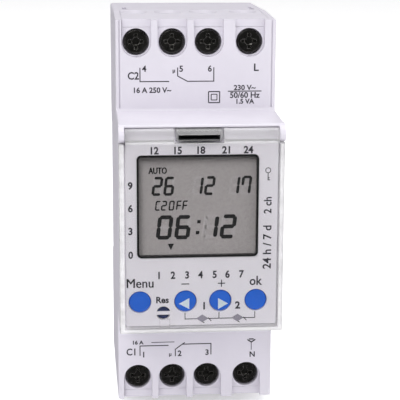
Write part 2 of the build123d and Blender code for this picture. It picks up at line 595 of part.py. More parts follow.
with BuildPart() as regulator:
    with BuildSketch(front_plane(POWER_BOARD_FRONT + 2.5)):
        with Locations((12.5, 5.0)):
            Circle(2.3)
            with Locations((0, -2.3)):
                Rectangle(4.6, 2.0, mode=Mode.SUBTRACT)
    extrude(amount=4.6)
    for leg_x in (11.2, 12.5, 13.8):
        slab((leg_x - 0.22, leg_x + 0.22), (POWER_BOARD_FRONT, POWER_BOARD_FRONT + 2.6), (4.8, 5.2))
write(regulator.part, "regulator")

with BuildPart() as driver_transistors:
    for x in (-3.0, 4.0):
        with BuildSketch(front_plane(POWER_BOARD_FRONT + 2.5)):
            with Locations((x, -18.0)):
                Circle(2.3)
                with Locations((0, -2.3)):
                    Rectangle(4.6, 2.0, mode=Mode.SUBTRACT)
        extrude(amount=4.6)
        for leg in (-1.3, 0, 1.3):
            leg_x = x + leg
            slab((leg_x - 0.22, leg_x + 0.22), (POWER_BOARD_FRONT, POWER_BOARD_FRONT + 2.6), (-18.2, -17.8))
write(driver_transistors.part, "driver_transistors")

# --- Terminals: fixed bars, and for each a captive screw and the cage that it lifts ---------------
with BuildPart() as terminal_bars:
    for x in TERMINAL_X:
        for top in (1, -1):
            slab((x - 2.1, x + 2.1), (BAR_REAR, BAR_FRONT), (top * (BAR_LEG_Z - 0.6), top * 42.0))
            slab((x - 0.5, x + 0.5), (21.6, BAR_REAR), (top * (BAR_LEG_Z - 0.6), top * (BAR_LEG_Z + 0.6)))
write(terminal_bars.part, "terminal_bars")

for top, names in ((1, TOP_NAMES), (-1, BOTTOM_NAMES)):
    z = top * SCREW_HEIGHT
    for x, mark in zip(TERMINAL_X, names):
        with BuildPart() as terminal_screw:
            rod(x, z, (HEAD_SEAT, HEAD_FRONT), HEAD_RADIUS)
            fillet(terminal_screw.edges().group_by(Axis.Y)[0], 0.35)
            rod(x, z, (BAR_FRONT + RUNNING_GAP, HEAD_SEAT), SHANK_RADIUS)
            chamfer(terminal_screw.edges().group_by(Axis.Y)[-1], 0.4)
            # cross recess, with the wide slot of a combined head
            slab((x - 1.75, x + 1.75), (HEAD_FRONT - 1.2, HEAD_FRONT), (z - 0.4, z + 0.4), Mode.SUBTRACT)
            slab((x - 0.4, x + 0.4), (HEAD_FRONT - 1.2, HEAD_FRONT), (z - 1.75, z + 1.75), Mode.SUBTRACT)
            rod(x, z, (HEAD_FRONT - 1.3, HEAD_FRONT), 0.9, Mode.SUBTRACT)
        write(terminal_screw.part, f"terminal_screw_{mark}")

        with BuildPart() as terminal_cage:
            cage = (x - 2.9, x + 2.9)
            slab(cage, (CAGE_JAW_REAR, CAGE_NUT_FRONT), (z - 3.0, z + 3.0))
            chamfer(terminal_cage.edges().filter_by(Axis.Z), 0.3)
            slab((x - 2.3, x + 2.3), (CAGE_JAW_FRONT, CAGE_NUT_REAR), (z - 3.1, z + 3.1), Mode.SUBTRACT)
            rod(x, z, (CAGE_NUT_REAR, CAGE_NUT_FRONT), SHANK_RADIUS + RUNNING_GAP, Mode.SUBTRACT)
        write(terminal_cage.part, f"terminal_cage_{mark}")

# --- Rail clip: a sprung slider under the lower edge of the rail ----------------------------------
with BuildPart() as rail_clip:
    slab((-CLIP_HALF_WIDTH, CLIP_HALF_WIDTH), (-CLIP_FAR, -CLIP_NEAR), (-47.4, -19.0))
    with BuildSketch(Plane.YZ):
        with BuildLine():
            Polyline(
                (CLIP_NEAR, -19.0),
                (CLIP_NEAR, -15.3),
                (2.4, -15.3),
                (CLIP_FAR, -18.0),
                (CLIP_FAR, -19.0),
                close=True,
            )
        make_face()
    extrude(amount=CLIP_HALF_WIDTH, both=True)
    # window for the spring and its stop, and the slot that a screwdriver pulls on
    slab((-1.7, 1.7), (-CLIP_FAR, -CLIP_NEAR), (SPRING_SEAT - 1.62, SPRING_TOP + 0.1), Mode.SUBTRACT)
    slab((-3.0, 3.0), (-CLIP_FAR, -CLIP_NEAR), (-46.6, -45.2), Mode.SUBTRACT)
write(rail_clip.part, "rail_clip")

with BuildPart() as clip_spring:
    spring_foot = SPRING_SEAT + SPRING_WIRE + 0.05
    spring_length = SPRING_TOP - SPRING_SEAT - 2 * SPRING_WIRE - 0.1
    with BuildLine() as coil:
        Helix(spring_length / 7, spring_length, SPRING_RADIUS, center=(0, 2.75, spring_foot))
    with BuildSketch(Plane(origin=coil.line @ 0, z_dir=coil.line % 0)):
        Circle(SPRING_WIRE)
    sweep(path=coil.line, is_frenet=True)
write(clip_spring.part, "clip_spring")
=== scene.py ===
import json
import math

import bmesh
import bpy
from mathutils import Matrix, Vector


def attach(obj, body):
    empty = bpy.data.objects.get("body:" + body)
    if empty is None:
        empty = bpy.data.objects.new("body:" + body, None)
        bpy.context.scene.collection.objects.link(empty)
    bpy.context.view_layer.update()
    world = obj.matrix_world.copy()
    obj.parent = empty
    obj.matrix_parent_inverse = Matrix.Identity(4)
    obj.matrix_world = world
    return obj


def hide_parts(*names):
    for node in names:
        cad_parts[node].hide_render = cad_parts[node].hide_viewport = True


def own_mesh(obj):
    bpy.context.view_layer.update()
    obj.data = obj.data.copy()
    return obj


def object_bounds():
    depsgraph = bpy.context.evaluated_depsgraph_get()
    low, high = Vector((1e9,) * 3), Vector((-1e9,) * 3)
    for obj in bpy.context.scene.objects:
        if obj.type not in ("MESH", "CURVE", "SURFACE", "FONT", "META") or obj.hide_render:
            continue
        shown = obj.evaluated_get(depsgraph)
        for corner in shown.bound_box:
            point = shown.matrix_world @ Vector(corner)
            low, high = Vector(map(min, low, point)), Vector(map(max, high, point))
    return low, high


# Two-module DIN rail timer: surface finishes, printing, display contents, studio and camera.
# Lengths below are millimetres in the frame of the part: X right, Z up, front at -Y, apart from the
# studio and the camera, which are in metres. A "forward" value is the distance in front of the rail
# seat, so forward 38 is Y = -0.038 m.

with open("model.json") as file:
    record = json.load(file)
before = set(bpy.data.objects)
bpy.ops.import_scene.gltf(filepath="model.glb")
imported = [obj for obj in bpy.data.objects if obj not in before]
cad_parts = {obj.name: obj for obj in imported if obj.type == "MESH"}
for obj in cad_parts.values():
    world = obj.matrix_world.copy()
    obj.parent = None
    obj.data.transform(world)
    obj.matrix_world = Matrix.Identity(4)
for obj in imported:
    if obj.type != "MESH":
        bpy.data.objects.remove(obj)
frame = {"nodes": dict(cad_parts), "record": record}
CAD_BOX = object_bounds()
NODES = frame["nodes"]
MM = 0.001

# Places that the printing and the display share with the part
TERMINAL_FACE = 38.0
PANEL_FRONT = 53.2
KEY_FRONT = 53.0
LCD_FRONT = 51.9
KEY_X = {"left": -3.5, "right": 4.2}
KEY_Z = -15.95
INK = 0.02

# Where the solid rim and the hinge bar of the cover begin: each a start and an end of the change
RIM_SIDE = (16.7, 16.9)
RIM_FOOT = (-21.9, -21.7)
HINGE_BAR = (19.2, 19.3)


# ---------------------------------------------------------------- materials

def tone(red, green, blue):
    """A colour given as 0-255 screen values, made linear."""
    def channel(value):
        value = value / 255
        return value / 12.92 if value <= 0.04045 else ((value + 0.055) / 1.055) ** 2.4
    return (channel(red), channel(green), channel(blue), 1.0)


def scaled(colour, by):
    """The colour made lighter or darker."""
    return (min(1.0, colour[0] * by), min(1.0, colour[1] * by), min(1.0, colour[2] * by), 1.0)


class Finish:
    """A material's node tree, built up one feature at a time in the object's own coordinates."""

    def __init__(self, name):
        self.material = bpy.data.materials.new(name)
        self.material.use_nodes = True
        tree = self.material.node_tree
        tree.nodes.clear()
        self.nodes, self.links = tree.nodes, tree.links
        self.output = self.nodes.new("ShaderNodeOutputMaterial")
        self.shader = self.nodes.new("ShaderNodeBsdfPrincipled")
        self.links.new(self.shader.outputs["BSDF"], self.output.inputs["Surface"])
        self.place = self.nodes.new("ShaderNodeTexCoord").outputs["Object"]
        self.normal = None

    def set(self, **values):
        for name, value in values.items():
            self.shader.inputs[name.replace("_", " ")].default_value = value
        return self

    def noise(self, size_mm, detail=3.0, roughness=0.55, stretch=(1, 1, 1), distortion=0.0):
        """A noise whose features are about size_mm across."""
        mapping = self.nodes.new("ShaderNodeMapping")
        mapping.inputs["Scale"].default_value = [1 / (size_mm * MM) / s for s in stretch]
        self.links.new(self.place, mapping.inputs["Vector"])
        node = self.nodes.new("ShaderNodeTexNoise")
        node.inputs["Scale"].default_value = 1.0
        node.inputs["Detail"].default_value = detail
        node.inputs["Roughness"].default_value = roughness
        node.inputs["Distortion"].default_value = distortion
        self.links.new(mapping.outputs["Vector"], node.inputs["Vector"])
        return node.outputs["Fac"]

    def ranged(self, value, low, high, start=0.3, end=0.7):
        """The value between start and end, spread from low to high."""
        node = self.nodes.new("ShaderNodeMapRange")
        node.inputs["From Min"].default_value = start
        node.inputs["From Max"].default_value = end
        node.inputs["To Min"].default_value = low
        node.inputs["To Max"].default_value = high
        self.links.new(value, node.inputs["Value"])
        return node.outputs["Result"]

    def apart(self, vector, axis):
        """One coordinate of a vector."""
        node = self.nodes.new("ShaderNodeSeparateXYZ")
        self.links.new(vector, node.inputs["Vector"])
        return node.outputs[axis]

    def arithmetic(self, operation, first, second=None):
        """A maths operation on one or two sockets."""
        node = self.nodes.new("ShaderNodeMath")
        node.operation = operation
        self.links.new(first, node.inputs[0])
        if second is not None:
            self.links.new(second, node.inputs[1])
        return node.outputs["Value"]

    def mixed(self, factor, first, second):
        """first and second, each a colour or a socket, mixed by factor."""
        node = self.nodes.new("ShaderNodeMix")
        node.data_type = "RGBA"
        self.links.new(factor, node.inputs["Factor"])
        for index, part in ((6, first), (7, second)):
            if isinstance(part, tuple):
                node.inputs[index].default_value = part
            else:
                self.links.new(part, node.inputs[index])
        return node.outputs[2]

    def rounded(self, radius_mm):
        """Edges shade as if they had a small radius."""
        node = self.nodes.new("ShaderNodeBevel")
        node.samples = 4
        node.inputs["Radius"].default_value = radius_mm * MM
        self.normal = node.outputs["Normal"]
        self.links.new(self.normal, self.shader.inputs["Normal"])
        return self

    def edges(self, radius_mm):
        """1 on sharp edges and 0 on flats, from how far a rounded edge turns from the real one."""
        bevel = self.nodes.new("ShaderNodeBevel")
        bevel.samples = 4
        bevel.inputs["Radius"].default_value = radius_mm * MM
        geometry = self.nodes.new("ShaderNodeNewGeometry")
        dot = self.nodes.new("ShaderNodeVectorMath")
        dot.operation = "DOT_PRODUCT"
        self.links.new(bevel.outputs["Normal"], dot.inputs[0])
        self.links.new(geometry.outputs["Normal"], dot.inputs[1])
        return self.ranged(dot.outputs["Value"], 1.0, 0.0, 0.86, 0.995)

    def bump(self, height, depth_mm, strength=1.0):
        node = self.nodes.new("ShaderNodeBump")
        node.inputs["Strength"].default_value = strength
        node.inputs["Distance"].default_value = depth_mm * MM
        self.links.new(height, node.inputs["Height"])
        if self.normal is not None:
            self.links.new(self.normal, node.inputs["Normal"])
        self.normal = node.outputs["Normal"]
        self.links.new(self.normal, self.shader.inputs["Normal"])
        return self

    def colour(self, socket):
        self.links.new(socket, self.shader.inputs["Base Color"])
        return self

    def roughness(self, socket):
        self.links.new(socket, self.shader.inputs["Roughness"])
        return self

    def seen_in_a_studio(self, by, lift):
        """Reflections show the surface darker than it is, as if black flags stood around the part, and
        the camera sees it a little brighter, as a lit white sweep."""
        path = self.nodes.new("ShaderNodeLightPath")
        extra = self.nodes.new("ShaderNodeMath")
        extra.operation = "MULTIPLY"
        extra.inputs[1].default_value = lift
        self.links.new(path.outputs["Is Camera Ray"], extra.inputs[0])
        self.links.new(extra.outputs["Value"], self.shader.inputs["Emission Strength"])
        self.shader.inputs["Emission Color"].default_value = (1.0, 1.0, 1.0, 1.0)
        dark = self.nodes.new("ShaderNodeBsdfDiffuse")
        dark.inputs["Color"].default_value = (by, by, by, 1.0)
        mix = self.nodes.new("ShaderNodeMixShader")
        self.links.new(path.outputs["Is Glossy Ray"], mix.inputs["Fac"])
        self.links.new(self.shader.outputs["BSDF"], mix.inputs[1])
        self.links.new(dark.outputs["BSDF"], mix.inputs[2])
        self.links.new(mix.outputs["Shader"], self.output.inputs["Surface"])
        return self

    def lets_lamps_through(self, share=1.0):
        """Shadows pass through glass, so what is behind it is lit."""
        path = self.nodes.new("ShaderNodeLightPath")
        clear = self.nodes.new("ShaderNodeBsdfTransparent")
        clear.inputs["Color"].default_value = (share, share, share, 1.0)
        mix = self.nodes.new("ShaderNodeMixShader")
        self.links.new(path.outputs["Is Shadow Ray"], mix.inputs["Fac"])
        self.links.new(self.shader.outputs["BSDF"], mix.inputs[1])
        self.links.new(clear.outputs["BSDF"], mix.inputs[2])
        self.links.new(mix.outputs["Shader"], self.output.inputs["Surface"])
        return self


def moulded(name, colour, grain_mm=0.16, depth_mm=0.0035, low=0.36, high=0.5, edge_mm=0.14,
            painted_edge_light=1.05, soil=0.965):
    """Injection moulded plastic: spark-eroded grain, faint flow mottling, and a painted highlight that makes
    the edges lighter.
    """
    finish = Finish(name)
    finish.rounded(edge_mm)
    mottle = finish.ranged(finish.noise(9.0, 4.0, 0.6, distortion=0.4), 0.0, 1.0, 0.34, 0.66)
    body = finish.mixed(mottle, scaled(colour, soil), colour)
    # Painted highlight: the edges are mixed towards a lighter copy of the colour, standing in for light
    # caught on them.
    finish.colour(finish.mixed(finish.edges(edge_mm * 1.6), body, scaled(colour, painted_edge_light)))
    finish.roughness(finish.ranged(finish.noise(2.5, 5.0, 0.65), low, high))
    finish.bump(finish.noise(1.6, 2.0), depth_mm * 2.0, 0.35)
    finish.bump(finish.noise(grain_mm, 2.0, 0.6), depth_mm)
    finish.set(IOR=1.5)
    return finish


def metal(name, colour, low, high, grain=(1, 1, 1), grain_mm=0.12, depth_mm=0.002, stain=0.8, painted_edge_glint=1.15):
    """Metal with drawn or rolled grain, uneven dulling, and a painted highlight that makes the edges
    brighter.
    """
    finish = Finish(name)
    finish.rounded(0.05)
    dulling = finish.ranged(finish.noise(1.8, 5.0, 0.65), 0.0, 1.0, 0.35, 0.7)
    body = finish.mixed(dulling, colour, scaled(colour, stain))
    # Painted highlight: the edges are mixed towards a brighter copy of the colour, standing in for light
    # glinting on them.
    finish.colour(finish.mixed(finish.edges(0.12), body, scaled(colour, painted_edge_glint)))
    finish.roughness(finish.ranged(finish.noise(0.7, 4.0, 0.6, grain), low, high))
    finish.bump(finish.noise(grain_mm, 3.0, 0.6, grain), depth_mm)
    finish.set(Metallic=1.0)
    return finish


def clear_plastic(name, colour, rough_low, rough_high, haze_mm=0.0006):
    """Polished clear plastic with faint moulding ripple and fine wipe marks."""
    finish = Finish(name)
    finish.rounded(0.1)
    finish.bump(finish.noise(5.0, 2.0), haze_mm, 0.6)
    finish.roughness(finish.ranged(finish.noise(1.2, 5.0, 0.7, (6, 1, 1)), rough_low, rough_high, 0.45, 0.8))
    finish.colour(finish.mixed(finish.noise(12.0, 2.0), colour, scaled(colour, 0.985)))
    finish.set(Transmission_Weight=1.0, IOR=1.49)
    finish.lets_lamps_through()
    return finish


def glowing_rim(finish, side_haze, bar_haze):
    """Makes the rim and the hinge bar of a clear cover cloudier than its front: light gathers there."""
    across = finish.arithmetic("ABSOLUTE", finish.apart(finish.place, "X"))
    up = finish.apart(finish.place, "Z")
    side = finish.ranged(across, 0.0, side_haze, RIM_SIDE[0] * MM, RIM_SIDE[1] * MM)
    foot = finish.ranged(up, side_haze, 0.0, RIM_FOOT[0] * MM, RIM_FOOT[1] * MM)
    bar = finish.ranged(up, 0.0, bar_haze, HINGE_BAR[0] * MM, HINGE_BAR[1] * MM)
    rim = finish.arithmetic("MAXIMUM", finish.arithmetic("MAXIMUM", side, foot), bar)
    streaks = finish.ranged(finish.noise(3.0, 3.0, 0.6, (5, 1, 1)), 0.7, 1.0)
    cloudy = finish.ranged(finish.arithmetic("MULTIPLY", rim, streaks), 1.0, 0.0, 0.0, 1.0)
    finish.links.new(cloudy, finish.shader.inputs["Transmission Weight"])
    return finish


def rubber(name, colour):
    """Silicone rubber: soft sheen, dust in the grain."""
    finish = Finish(name)
    finish.colour(finish.mixed(finish.ranged(finish.noise(0.8, 5.0, 0.7), 0.0, 1.0, 0.45, 0.75),
                               colour, scaled(colour, 1.25)))
    finish.roughness(finish.ranged(finish.noise(1.5, 4.0), 0.55, 0.75))
    finish.bump(finish.noise(0.1, 2.0), 0.004)
    finish.set(Sheen_Weight=0.15)
    return finish


def board(name, colour):
    """Circuit board: solder mask with copper tracks showing through and the weave of the glass cloth."""
    finish = Finish(name)
    tracks = finish.nodes.new("ShaderNodeTexBrick")
    tracks.inputs["Scale"].default_value = 420.0
    tracks.inputs["Mortar Size"].default_value = 0.09
    tracks.inputs["Mortar Smooth"].default_value = 0.1
    tracks.inputs["Brick Width"].default_value = 1.7
    tracks.inputs["Row Height"].default_value = 0.6
    turn = finish.nodes.new("ShaderNodeMapping")
    turn.inputs["Rotation"].default_value = (math.pi / 2, 0, 0)
    finish.links.new(finish.place, turn.inputs["Vector"])
    finish.links.new(turn.outputs["Vector"], tracks.inputs["Vector"])
    weave = finish.noise(0.35, 2.0, 0.5, (3, 1, 1))
    ground = finish.mixed(finish.ranged(weave, 0.0, 1.0), scaled(colour, 0.85), colour)
    finish.colour(finish.mixed(tracks.outputs["Fac"], ground, scaled(colour, 1.6)))
    finish.roughness(finish.ranged(finish.noise(1.2, 4.0), 0.28, 0.42))
    finish.bump(tracks.outputs["Fac"], 0.03)
    finish.bump(weave, 0.006)
    finish.set(Coat_Weight=0.3, Coat_Roughness=0.2)
    return finish


def film(name, colour, gloss):
    """Taped or sleeved component skin with faint wrap lines."""
    finish = Finish(name)
    finish.rounded(0.08)
    wrap = finish.noise(0.5, 3.0, 0.5, (8, 8, 1))
    finish.colour(finish.mixed(finish.ranged(wrap, 0.0, 1.0), scaled(colour, 0.85), colour))
    finish.roughness(finish.ranged(finish.noise(0.9, 4.0), gloss, gloss + 0.15))
    finish.bump(wrap, 0.01)
    return finish


def glossy(name, colour, low=0.1, high=0.2, edge_mm=0.12, shade_rim_mm=0.35):
    """Polished coloured plastic, as on a pressed key: thin coat, finger smears, and a painted shade that
    darkens the rim.
    """
    finish = Finish(name)
    finish.rounded(edge_mm)
    body = finish.mixed(finish.ranged(finish.noise(3.0, 4.0, 0.6), 0.0, 1.0), scaled(colour, 0.92), colour)
    # Painted shade: the rim is mixed towards a much darker copy of the colour, standing in for the shadow in
    # the key's recess.
    finish.colour(finish.mixed(finish.edges(shade_rim_mm), body, scaled(colour, 0.35)))
    finish.roughness(finish.ranged(finish.noise(1.1, 5.0, 0.7, (3, 1, 1)), low, high, 0.4, 0.75))
    finish.bump(finish.noise(0.7, 3.0), 0.002)
    finish.set(IOR=1.5, Coat_Weight=0.35, Coat_Roughness=0.08)
    return finish


def liquid_crystal(name, colour):
    """The display glass: a reflective grey film with a fine grain and a slow drift of tone."""
    finish = Finish(name)
    drift = finish.ranged(finish.noise(14.0, 2.0), 0.0, 1.0, 0.3, 0.7)
    film_tone = finish.mixed(drift, scaled(colour, 0.95), colour)
    grain = finish.ranged(finish.noise(0.06, 2.0), 0.0, 1.0)
    finish.colour(finish.mixed(grain, scaled(colour, 0.93), film_tone))
    finish.roughness(finish.ranged(finish.noise(0.5, 3.0), 0.22, 0.34))
    finish.bump(finish.noise(0.08, 2.0), 0.001)
    finish.set(Coat_Weight=0.4, Coat_Roughness=0.1)
    return finish


def ink(name, colour, rough=0.6):
    """Pad-printed ink, a little uneven where it lies on the grain."""
    finish = Finish(name)
    patchy = finish.ranged(finish.noise(0.22, 4.0, 0.7), 0.0, 1.0, 0.38, 0.72)
    finish.colour(finish.mixed(patchy, colour, scaled(colour, 1.5)))
    finish.roughness(finish.ranged(finish.noise(0.4, 3.0), rough - 0.1, rough + 0.1))
    finish.bump(finish.noise(0.12, 2.0), 0.002)
    return finish


LILAC = tone(224, 220, 230)
SLOTS = {
    "housing_plastic": moulded("housing_plastic", LILAC),
    "panel_plastic": moulded("panel_plastic", tone(252, 249, 255), 0.2, 0.003, 0.4, 0.54, 0.1),
    "clear_cover": glowing_rim(clear_plastic("clear_cover", (0.998, 0.992, 1.0, 1.0), 0.0, 0.05), 0.7, 0.26),
    # Painted shade: frame_black, key_blue and reset_dark darken their rims through glossy().
    "frame_black": glossy("frame_black", tone(8, 8, 10), 0.35, 0.5, 0.08, 0.1),
    "clear_window": clear_plastic("clear_window", (0.97, 0.975, 0.97, 1.0), 0.0, 0.06),
    "display_glass": liquid_crystal("display_glass", tone(188, 182, 182)),
    "light_guide": moulded("light_guide", tone(228, 229, 224), 0.3, 0.002, 0.25, 0.35),
    "inner_plastic": moulded("inner_plastic", tone(205, 204, 208), 0.2, 0.004, 0.45, 0.6),
    "contact_rubber": rubber("contact_rubber", tone(196, 128, 148)),
    "mat_rubber": rubber("mat_rubber", tone(188, 190, 196)),
    "board_green": board("board_green", tone(22, 92, 52)),
    # Painted highlight: component_black, relay_case and clip_plastic lighten their edges strongly (1.5, 1.6
    # and 1.25).
    "component_black": moulded("component_black", tone(34, 34, 36), 0.12, 0.004, 0.42, 0.6, 0.08, 1.5, 0.9),
    "component_metal": metal("component_metal", tone(214, 215, 217), 0.3, 0.5),
    "relay_case": moulded("relay_case", tone(28, 30, 34), 0.15, 0.003, 0.3, 0.45, 0.1, 1.6, 0.9),
    "film_yellow": film("film_yellow", tone(214, 178, 62), 0.25),
    "sleeve_blue": film("sleeve_blue", tone(40, 62, 118), 0.2),
    "resistor_body": film("resistor_body", tone(188, 170, 128), 0.4),
    "bar_brass": metal("bar_brass", tone(236, 208, 138), 0.32, 0.5, (1, 12, 1)),
    "spring_steel": metal("spring_steel", tone(226, 227, 230), 0.3, 0.45, (1, 1, 6)),
    "clip_plastic": moulded("clip_plastic", tone(92, 94, 98), 0.18, 0.005, 0.38, 0.55, 0.12, 1.25, 0.88),
    "key_blue": glossy("key_blue", tone(44, 116, 236)),
    "reset_dark": glossy("reset_dark", tone(46, 60, 104), 0.22, 0.35, 0.08),
    # Painted highlight: screw_black brightens its edges ninefold, a painted glint on a dark screw.
    "screw_black": metal("screw_black", tone(88, 87, 84), 0.2, 0.34, (4, 1, 4), 0.1, 0.003, 0.5, 9.0),
    "cage_zinc": metal("cage_zinc", tone(222, 223, 225), 0.34, 0.52, (1, 10, 1)),
}
SLOTS["frame_black"].set(Coat_Weight=0.08, Specular_IOR_Level=0.2)
PRINT = ink("printing", tone(46, 43, 52))
PRINT_PALE = ink("printing_pale", tone(150, 146, 158))
PRINT_WHITE = ink("printing_white", tone(214, 240, 250), 0.4)
SEGMENT = ink("display_segments", tone(8, 8, 10), 0.7)
SEGMENT.set(Specular_IOR_Level=0.05)
SEGMENT_OFF = ink("display_segments_off", tone(176, 171, 172), 0.5)

for part in frame["record"]["subparts"]:
    cad = NODES[part["node"]]
    finish = SLOTS[part["material_slot"]].material
    for place in cad.material_slots:
        place.material = finish


# The clip spring shortens as the clip goes down; here a copy of its solid in spring steel rides with the
# housing, and the original is hidden.
coil = bpy.data.objects.new("clip_spring_coil", NODES["clip_spring"].data.copy())
coil.matrix_world = NODES["clip_spring"].matrix_world.copy()
bpy.context.scene.collection.objects.link(coil)
coil.data.materials.clear()
coil.data.materials.append(SLOTS["spring_steel"].material)
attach(coil, "housing")
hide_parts("clip_spring")
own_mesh(coil)


# ---------------------------------------------------------------- thin printed shapes

class Sheet:
    """Thin raised marks on a plane that faces the front, gathered into one piece."""

    def __init__(self, name, forward, material, slot, body="housing", thick=INK):
        self.name, self.forward, self.material = name, forward, material
        self.slot, self.body, self.thick = slot, body, thick
        self.mesh = bmesh.new()

    def area(self, outline):
        """A filled outline given as (x, z) points in order."""
        front, back = -(self.forward + self.thick) * MM, -(self.forward - 0.005) * MM
        rim = [(x * MM, z * MM) for x, z in outline]
        near = [self.mesh.verts.new((x, front, z)) for x, z in rim]
        far = [self.mesh.verts.new((x, back, z)) for x, z in rim]
        self.mesh.faces.new(near)
        self.mesh.faces.new(far[::-1])
        for i in range(len(rim)):
            j = (i + 1) % len(rim)
            self.mesh.faces.new((near[j], near[i], far[i], far[j]))

    def stroke(self, points, width):
        """A line of the given width through the points, with mitred corners."""
        line = [Vector(p) for p in points]
        left, right = [], []
        for i, p in enumerate(line):
            ways = []
            if i > 0:
                ways.append((p - line[i - 1]).normalized())
            if i < len(line) - 1:
                ways.append((line[i + 1] - p).normalized())
            along = sum(ways, Vector((0, 0))).normalized()
            side = Vector((-along.y, along.x))
            reach = width / 2 / max(0.4, side.dot(Vector((-ways[0].y, ways[0].x))))
            left.append(p + side * reach)
            right.append(p - side * reach)
        self.area([tuple(p) for p in left + right[::-1]])

    def square(self, x, z, half, width):
        """The outline of an upright square, as four lines."""
        corners = [(x - half, z - half), (x + half, z - half), (x + half, z + half), (x - half, z + half)]
        for start, end in zip(corners, corners[1:] + corners[:1]):
            self.stroke([start, end], width)

    def ring(self, x, z, radius, width, steps=28):
        """A circle drawn with a line of the given width."""
        turns = [2 * math.pi * i / steps for i in range(steps)]
        for a, b in zip(turns, turns[1:] + turns[:1]):
            quad = [(x + (radius + d) * math.cos(t), z + (radius + d) * math.sin(t))
                    for t, d in ((a, -width / 2), (b, -width / 2), (b, width / 2), (a, width / 2))]
            self.area(quad)

    def text(self, words, x, z, height, stretch=1.0, turn=0.0, bold=0.045):
        """Letters centred on (x, z) with capitals about height tall; turn is in degrees."""
        curve = bpy.data.curves.new(self.name, "FONT")
        curve.body = words
        curve.align_x, curve.align_y = "CENTER", "CENTER"
        curve.size = height / 0.69
        curve.offset = bold
        curve.resolution_u = 3
        curve.extrude = self.thick / 2
        holder = bpy.data.objects.new(self.name, curve)
        bpy.context.scene.collection.objects.link(holder)
        bpy.context.view_layer.update()
        flat = bpy.data.meshes.new_from_object(holder.evaluated_get(bpy.context.evaluated_depsgraph_get()))
        place = (Matrix.Translation((x * MM, -(self.forward + self.thick / 2) * MM, z * MM))
                 @ Matrix.Rotation(math.pi / 2, 4, "X")
                 @ Matrix.Rotation(math.radians(turn), 4, "Z")
                 @ Matrix.Diagonal((stretch * MM, MM, MM, 1)))
        flat.transform(place)
        self.mesh.from_mesh(flat)
        bpy.data.objects.remove(holder)
        bpy.data.curves.remove(curve)
        bpy.data.meshes.remove(flat)

    def finish(self):
        """The gathered marks as one object that moves with its body."""
        mesh = bpy.data.meshes.new(self.name)
        bmesh.ops.recalc_face_normals(self.mesh, faces=self.mesh.faces)
        self.mesh.to_mesh(mesh)
        self.mesh.free()
        mesh.materials.append(self.material.material)
        made = bpy.data.objects.new(self.name, mesh)
        bpy.context.scene.collection.objects.link(made)
        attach(made, self.body)
        return made


# ---------------------------------------------------------------- printing on the upper terminal face

LINE, FINE_LINE, SIGN_LINE = 0.22, 0.17, 0.22
upper = Sheet("print_upper", TERMINAL_FACE, PRINT, "frame_black")
upper.text("C2", -14.0, 31.7, 1.6, 0.92)
upper.text("4", -11.55, 33.3, 1.3)
upper.text("5", -3.3, 33.25, 1.3)
upper.text("6", 3.1, 33.25, 1.3)
upper.text("L", 13.5, 33.45, 1.6, 1.05)
upper.text("µ", -4.95, 32.9, 0.85)
upper.stroke([(-12.5, 33.6), (-12.5, 30.5), (-6.0, 30.5)], LINE)
upper.stroke([(-4.1, 33.6), (-4.1, 31.7), (-1.9, 30.5), (4.0, 30.5), (4.0, 33.6)], LINE)
upper.text("16 A 250 V~", -9.85, 28.5, 1.15, 1.0)
upper.text("230 V~", 11.0, 28.95, 1.1, 1.05)
upper.stroke([(7.2, 28.2), (14.8, 28.2)], LINE)
upper.text("50/60 Hz", 11.0, 27.25, 1.25, 1.0)
upper.text("1.5 VA", 11.0, 25.85, 1.05, 1.0)
for half, weight in ((1.25, 0.24), (0.65, 0.2)):
    upper.square(4.1, 26.9, half, weight)
upper.finish()

# ---------------------------------------------------------------- printing on the lower terminal face

lower = Sheet("print_lower", TERMINAL_FACE, PRINT, "frame_black")
lower.text("16 A", -13.4, -30.5, 0.85, 1.1)
lower.stroke([(-10.2, -30.5), (-4.8, -30.5)], 0.16)
lower.text("C1", -14.8, -32.8, 1.6, 0.9)
lower.stroke([(-12.85, -33.7), (-12.85, -31.3), (-6.2, -31.3)], LINE)
lower.text("1", -12.0, -33.5, 1.3)
lower.text("µ", -5.8, -33.5, 0.85)
lower.stroke([(-4.6, -34.0), (-4.6, -32.3), (-2.4, -30.7)], LINE)
lower.stroke([(-3.1, -31.1), (3.75, -31.1), (3.75, -33.8)], LINE)
lower.text("2", -3.6, -33.4, 1.3)
lower.text("3", 2.85, -33.3, 1.3)
lower.stroke([(12.3, -30.35), (13.25, -31.0), (14.2, -30.35)], 0.3)
lower.stroke([(12.7, -30.25), (13.8, -30.25)], 0.3)
lower.stroke([(13.25, -30.9), (13.25, -32.9)], 0.16)
lower.text("N", 13.5, -34.05, 1.25)
lower.finish()

# ---------------------------------------------------------------- printing on the front panel

panel = Sheet("print_panel", PANEL_FRONT, PRINT, "frame_black")
for hour, x in (("12", -10.35), ("15", -5.3), ("18", -0.35), ("21", 5.35), ("24", 10.0)):
    panel.text(hour, x, 17.6, 1.5, 0.95, bold=0.07)
for hour, z in (("9", 10.0), ("6", 5.0), ("3", -0.05), ("0", -5.35)):
    panel.text(hour, -15.45, z, 1.5, 0.95, bold=0.07)
for day, x in zip("1234567", (-9.3, -6.25, -3.15, -0.2, 2.9, 5.7, 8.75)):
    panel.text(day, x, -10.05, 1.55, 0.9, bold=0.07)
panel.text("24 h / 7 d", 14.45, -4.0, 1.75, 1.0, 90)
panel.text("2 ch", 14.45, 5.4, 1.6, 0.95, 90)
panel.ring(14.35, 13.1, 0.55, 0.16)
panel.stroke([(14.35, 12.55), (14.35, 10.9)], 0.18)
panel.stroke([(14.35, 11.0), (14.8, 11.0)], 0.18)
panel.stroke([(14.35, 11.45), (14.7, 11.45)], 0.18)
for shift in (-0.035, 0.035):
    panel.text("Menu", -13.45 + shift, -11.75, 2.05, 0.92, bold=0.0)
